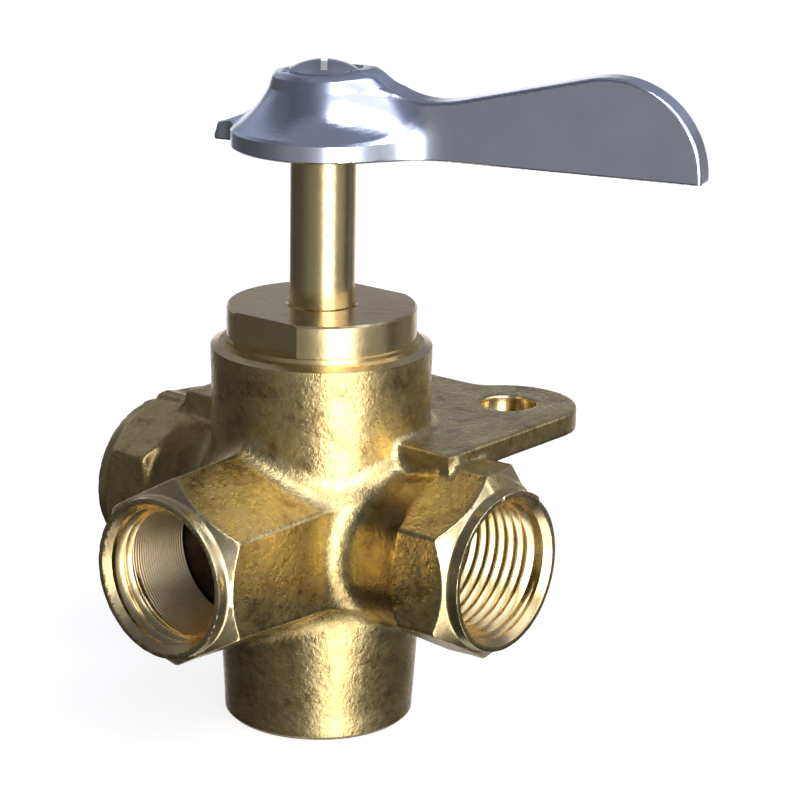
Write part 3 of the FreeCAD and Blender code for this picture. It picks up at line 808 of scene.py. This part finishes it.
def forged_brass():
    material, tree, shader = new_material("forged_brass_look", 1.0, 0.3)
    stain = noise(tree, 240, 5, 0.7)
    colour = ramp(tree, stain, [
        (0.34, (0.36, 0.25, 0.11)), (0.44, (0.58, 0.44, 0.19)),
        (0.56, (0.68, 0.54, 0.24)), (0.68, (0.60, 0.42, 0.19))])
    # Painted shade: the base colour is darkened on the necks of the ports in line, below the plate,
    # which are also made rougher
    neck_shade = painted_neck_shade(tree)
    shaded_colour = blend_colour(tree, 1.0, colour, NECK_SHADE_TINT, "MULTIPLY")
    tree.links.new(blend_colour(tree, neck_shade, colour, shaded_colour), shader.inputs["Base Color"])
    polish = scaled(tree, noise(tree, 900, 3), 0.2, 0.38)
    rough = arithmetic(tree, "MULTIPLY_ADD", neck_shade, 0.12, polish)
    tree.links.new(rough, shader.inputs["Roughness"])
    bump(tree, shader, [
        (noise(tree, 450, 2, 0.5), 0.02), (noise(tree, 1500, 3, 0.7), 0.085),
        (noise(tree, 3500, 2, 0.5), 0.02)])
    return material


def turned_brass():
    material, tree, shader = new_material("turned_brass_look", 1.0, 0.22)
    colour = ramp(tree, noise(tree, 90, 3, 0.5), [
        (0.3, (0.66, 0.50, 0.24)), (0.5, (0.75, 0.60, 0.31)), (0.7, (0.78, 0.63, 0.37))])
    tree.links.new(colour, shader.inputs["Base Color"])
    tree.links.new(scaled(tree, noise(tree, 500, 3), 0.16, 0.28), shader.inputs["Roughness"])
    bump(tree, shader, [(noise(tree, 900, 3, 0.6), 0.02)])
    return material


def brushed_wall():
    """Wall of a bore with fine rings left by the tool, its axis along Y, its base colour lighter
    than the other brass as a painted sheen.
    """
    material, tree, shader = new_material("brushed_brass_look", 1.0, 0.34)
    # Partly painted sheen: freshly cut brass, made lighter than the turned brass to stand in for
    # light the rings catch
    colour = ramp(tree, noise(tree, 500, 3, 0.5), [
        (0.3, (0.86, 0.66, 0.38)), (0.7, (0.95, 0.76, 0.48))])
    tree.links.new(colour, shader.inputs["Base Color"])
    rings = add(tree, "ShaderNodeTexWave", bands_direction="Y", Scale=785.0, Distortion=1.2)
    tree.links.new(coordinates(tree), rings.inputs["Vector"])
    bump(tree, shader, [(rings.outputs["Fac"], 0.19), (noise(tree, 900, 3, 0.6), 0.02)])
    return material


def cast_aluminium():
    material, tree, shader = new_material("cast_aluminium_look", 1.0, 0.2)
    # Partly painted reflection: the grey of the aluminium, with a blue cast that stands in for the
    # cool light it reflects
    colour = ramp(tree, noise(tree, 130, 4, 0.6), [
        (0.3, (0.76, 0.80, 0.91)), (0.55, (0.81, 0.85, 0.97)), (0.75, (0.85, 0.89, 0.98))])
    tree.links.new(colour, shader.inputs["Base Color"])
    tree.links.new(scaled(tree, noise(tree, 300, 3), 0.1, 0.2), shader.inputs["Roughness"])
    bump(tree, shader, [(noise(tree, 250, 3, 0.5), 0.012), (noise(tree, 1400, 3, 0.6), 0.006)])
    return material


def plain_metal(name, bore_shade, light, rough):
    """Metal of the small parts."""
    material, tree, shader = new_material(name, 1.0, rough)
    tree.links.new(
        ramp(tree, noise(tree, 400, 3), [(0.3, bore_shade), (0.7, light)]), shader.inputs["Base Color"])
    tree.links.new(scaled(tree, noise(tree, 900, 2), rough * 0.8, rough * 1.3),
                   shader.inputs["Roughness"])
    bump(tree, shader, [(noise(tree, 1200, 3, 0.6), 0.01)])
    return material


def soft_matter(name, bore_shade, light, rough):
    """Rubber or plastic."""
    material, tree, shader = new_material(name, 0.0, rough)
    tree.links.new(
        ramp(tree, noise(tree, 600, 3), [(0.3, bore_shade), (0.7, light)]), shader.inputs["Base Color"])
    bump(tree, shader, [(noise(tree, 1500, 3, 0.6), 0.01)])
    return material


def dress(node, material):
    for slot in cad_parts[node].material_slots:
        slot.material = material


# Photograph's camera and a plain studio

CAMERA_TURN = (38.788, 16.208, 0.982)          # yaw, pitch and roll in degrees
CAMERA_AZIMUTH = math.radians(51.212)          # a right angle less the yaw
CAMERA_PLACE = (217.976, -255.714, 138.182)
CAMERA_NEAR = 0.01
FOCAL_PIXELS = 2839.19
PHOTO_PIXELS = 800
SENSOR_WIDTH = 36
FLOOR_SIZE = 6
FLOOR_Z = -0.0002
FLOOR_GREY = (0.5, 0.5, 0.5, 1)
FLOOR_GLOW = 0.8


def camera():
    yaw, pitch, roll = (math.radians(a) for a in CAMERA_TURN)
    forward = Vector((-math.sin(yaw), math.cos(yaw), 0))
    right = Vector((math.cos(yaw), math.sin(yaw), 0))
    up = Vector((0, 0, 1))
    view = forward * math.cos(pitch) - up * math.sin(pitch)
    top = up * math.cos(pitch) + forward * math.sin(pitch)
    side = right * math.cos(roll) + top * math.sin(roll)
    head = -right * math.sin(roll) + top * math.cos(roll)
    eye = bpy.data.cameras.new("camera")
    eye.sensor_width = SENSOR_WIDTH
    eye.lens = FOCAL_PIXELS / PHOTO_PIXELS * SENSOR_WIDTH
    eye.clip_start = CAMERA_NEAR
    body = bpy.data.objects.new("camera", eye)
    matrix = Matrix((side, head, -view)).transposed().to_4x4()
    matrix.translation = Vector(CAMERA_PLACE) * MM
    body.matrix_world = matrix
    bpy.context.scene.collection.objects.link(body)
    bpy.context.scene.camera = body


def floor():
    bpy.ops.mesh.primitive_plane_add(size=FLOOR_SIZE, location=(0, 0, FLOOR_Z))
    plane = bpy.context.object
    plane.name = "floor"
    material, _, shader = new_material("floor_look", 0.0, 0.8)
    shader.inputs["Base Color"].default_value = FLOOR_GREY
    shader.inputs["Emission Color"].default_value = (1, 1, 1, 1)
    shader.inputs["Emission Strength"].default_value = FLOOR_GLOW
    plane.data.materials.append(material)
    plane.visible_glossy = False


# Brightness of the studio by angle from the camera's side towards its right,
# at the height of the horizon and higher up
LOW_ROUND = [
    (-180, 1.0), (-160, 0.9), (-150, 0.13), (-118, 0.07), (-82, 0.09), (-57, 0.15), (-43, 0.22),
    (-28, 0.24), (-18, 0.31), (-9, 0.42), (-1, 0.66), (5, 1.6), (11, 5.0), (31, 5.0), (38, 3.0),
    (46, 0.8), (55, 0.4), (68, 0.37), (81, 0.27), (90, 0.12), (100, 0.1), (113, 0.19),
    (140, 0.19), (156, 0.8), (180, 1.0)]
HIGH_ROUND = [
    (-180, 0.17), (-158, 0.25), (-141, 0.36), (-110, 0.14), (-70, 0.1), (-30, 0.13), (-8, 0.25),
    (3, 0.9), (10, 5.0), (34, 5.0), (50, 2.0), (90, 1.3), (100, 0.9), (112, 0.2), (128, 0.2),
    (146, 0.3), (164, 0.24), (180, 0.17)]
LOW_TINT = (1.0, 1.0, 1.04)
HIGH_TINT = (0.93, 0.98, 1.25)
OVERHEAD = (0.2, 0.21, 0.27)
STRENGTH = 5.0

# By the height of a direction, from -1 straight down to 1 straight up: where the low
# ring gives way to the high one, the cap on the walls, and where the overhead begins
RISE = [(0.0, 0.0), (0.06, 0.0), (0.26, 1.0)]
CEILING = [(0.0, 1.0), (0.32, 1.0), (0.44, 0.2), (0.66, 0.2), (0.74, 1.0)]
LID = [(0.84, 0.0), (0.94, 1.0)]

# Steeply down the light is weaker
BELOW = (-0.46, -0.32)
BELOW_SHARE = 0.5


def grey_ramp(tree, source, stops):
    return ramp(tree, source, [(place, (v, v, v)) for place, v in stops])


def studio():
    world = bpy.data.worlds.new("studio")
    bpy.context.scene.world = world
    world.use_nodes = True
    tree = world.node_tree
    sky = tree.nodes["Background"]
    where = coordinates(tree, "Generated")
    turn = tree.nodes.new("ShaderNodeMapping")
    turn.inputs["Rotation"].default_value = (0, 0, CAMERA_AZIMUTH)
    tree.links.new(where, turn.inputs["Vector"])
    around = add(tree, "ShaderNodeTexGradient", gradient_type="RADIAL")
    tree.links.new(turn.outputs["Vector"], around.inputs["Vector"])
    apart = tree.nodes.new("ShaderNodeSeparateXYZ")
    tree.links.new(where, apart.inputs["Vector"])
    height = apart.outputs["Z"]
    rings = []
    for table, tint in ((LOW_ROUND, LOW_TINT), (HIGH_ROUND, HIGH_TINT)):
        rings.append(ramp(tree, around.outputs["Fac"], [
            (0.5 + a / 360, tuple(v * t / STRENGTH for t in tint)) for a, v in table]))
    walls = blend_colour(tree, grey_ramp(tree, height, RISE), *rings)
    walls = blend_colour(tree, 1.0, walls, grey_ramp(tree, height, CEILING), "DARKEN")
    overhead = (*(v / STRENGTH for v in OVERHEAD), 1)
    whole = blend_colour(tree, grey_ramp(tree, height, LID), walls, overhead)
    path = tree.nodes.new("ShaderNodeLightPath")
    paper = (1 / STRENGTH, 1 / STRENGTH, 1 / STRENGTH, 1)
    whole = blend_colour(tree, path.outputs["Is Camera Ray"], whole, paper)
    tree.links.new(whole, sky.inputs["Color"])
    tree.links.new(ranged(tree, height, BELOW, STRENGTH * BELOW_SHARE, STRENGTH),
                   sky.inputs["Strength"])
    bpy.context.scene.view_settings.view_transform = "Standard"


def add_thread(name, direction, height, face, start, length, material):
    """Thread in a bore of the body."""
    ridge = thread(name, direction, height, face, start, length)
    ridge.data.materials.append(material)
    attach(ridge, "body")


def build():
    brass, machined_brass, silver = forged_brass(), turned_brass(), cast_aluminium()
    steel = plain_metal("steel_look", (0.60, 0.62, 0.68), (0.78, 0.80, 0.86), 0.2)
    spring = plain_metal("spring_look", (0.3, 0.3, 0.31), (0.45, 0.45, 0.46), 0.35)
    rubber = soft_matter("rubber_look", (0.012, 0.012, 0.012), (0.03, 0.03, 0.03), 0.55)
    plastic = soft_matter("plastic_look", (0.72, 0.70, 0.64), (0.82, 0.80, 0.75), 0.45)
    looks = {
        "bonnet_cap": machined_brass, "stem": machined_brass, "rotor": machined_brass,
        "bonnet_o_ring": rubber, "stem_o_ring_lower": rubber, "stem_o_ring_upper": rubber,
        "rotor_o_ring_lower": rubber, "rotor_o_ring_upper": rubber, "outlet_seal": rubber,
        "thrust_washer": plastic, "base_washer": plastic, "stop_pin": steel,
        "rotor_spring": spring, "detent_spring": spring, "outlet_spring": spring,
        "detent_ball": steel, "lock_washer": steel, "handle_screw": steel,
        "valve_body": brass, "lever_handle": silver}
    for node, look in looks.items():
        dress(node, look)
    casting = netted("casting", body_solid, CASTING_LOW, CASTING_HIGH, CASTING_STEP)
    # Painted shade for the bore floors and the passages
    bore_shade = plain_metal("painted_bore_shade_look", (0.07, 0.05, 0.04), (0.13, 0.09, 0.06), 0.5)
    dress_by_finish_or_shade(casting, (brass, machined_brass, brushed_wall(), bore_shade))
    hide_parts("valve_body")
    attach(casting, "body")
    lever = netted("lever", lever_solid, LEVER_LOW, LEVER_HIGH, LEVER_STEP)
    lever.data.materials.append(silver)
    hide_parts("lever_handle")
    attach(lever, "handle")
    for label, angle in PORT_ANGLES.items():
        a = math.radians(angle)
        out = np.array((math.cos(a), math.sin(a), 0))
        side = np.array((-math.sin(a), math.cos(a), 0))
        basis = np.stack((side, np.cross(out, side), out), 1)
        add_thread("thread_" + label, basis, PORT_Z, PORT_FACE, THREAD_START,
                   THREAD_LENGTHS[label], machined_brass)
    down = np.array(((1, 0, 0), (0, -1, 0), (0, 0, -1)), float)
    add_thread("thread_foot", down, 0, 0, FOOT_THREAD_START,
               FOOT_DEPTH - FOOT_THREAD_MARGIN, machined_brass)


build()
camera()
floor()
studio()
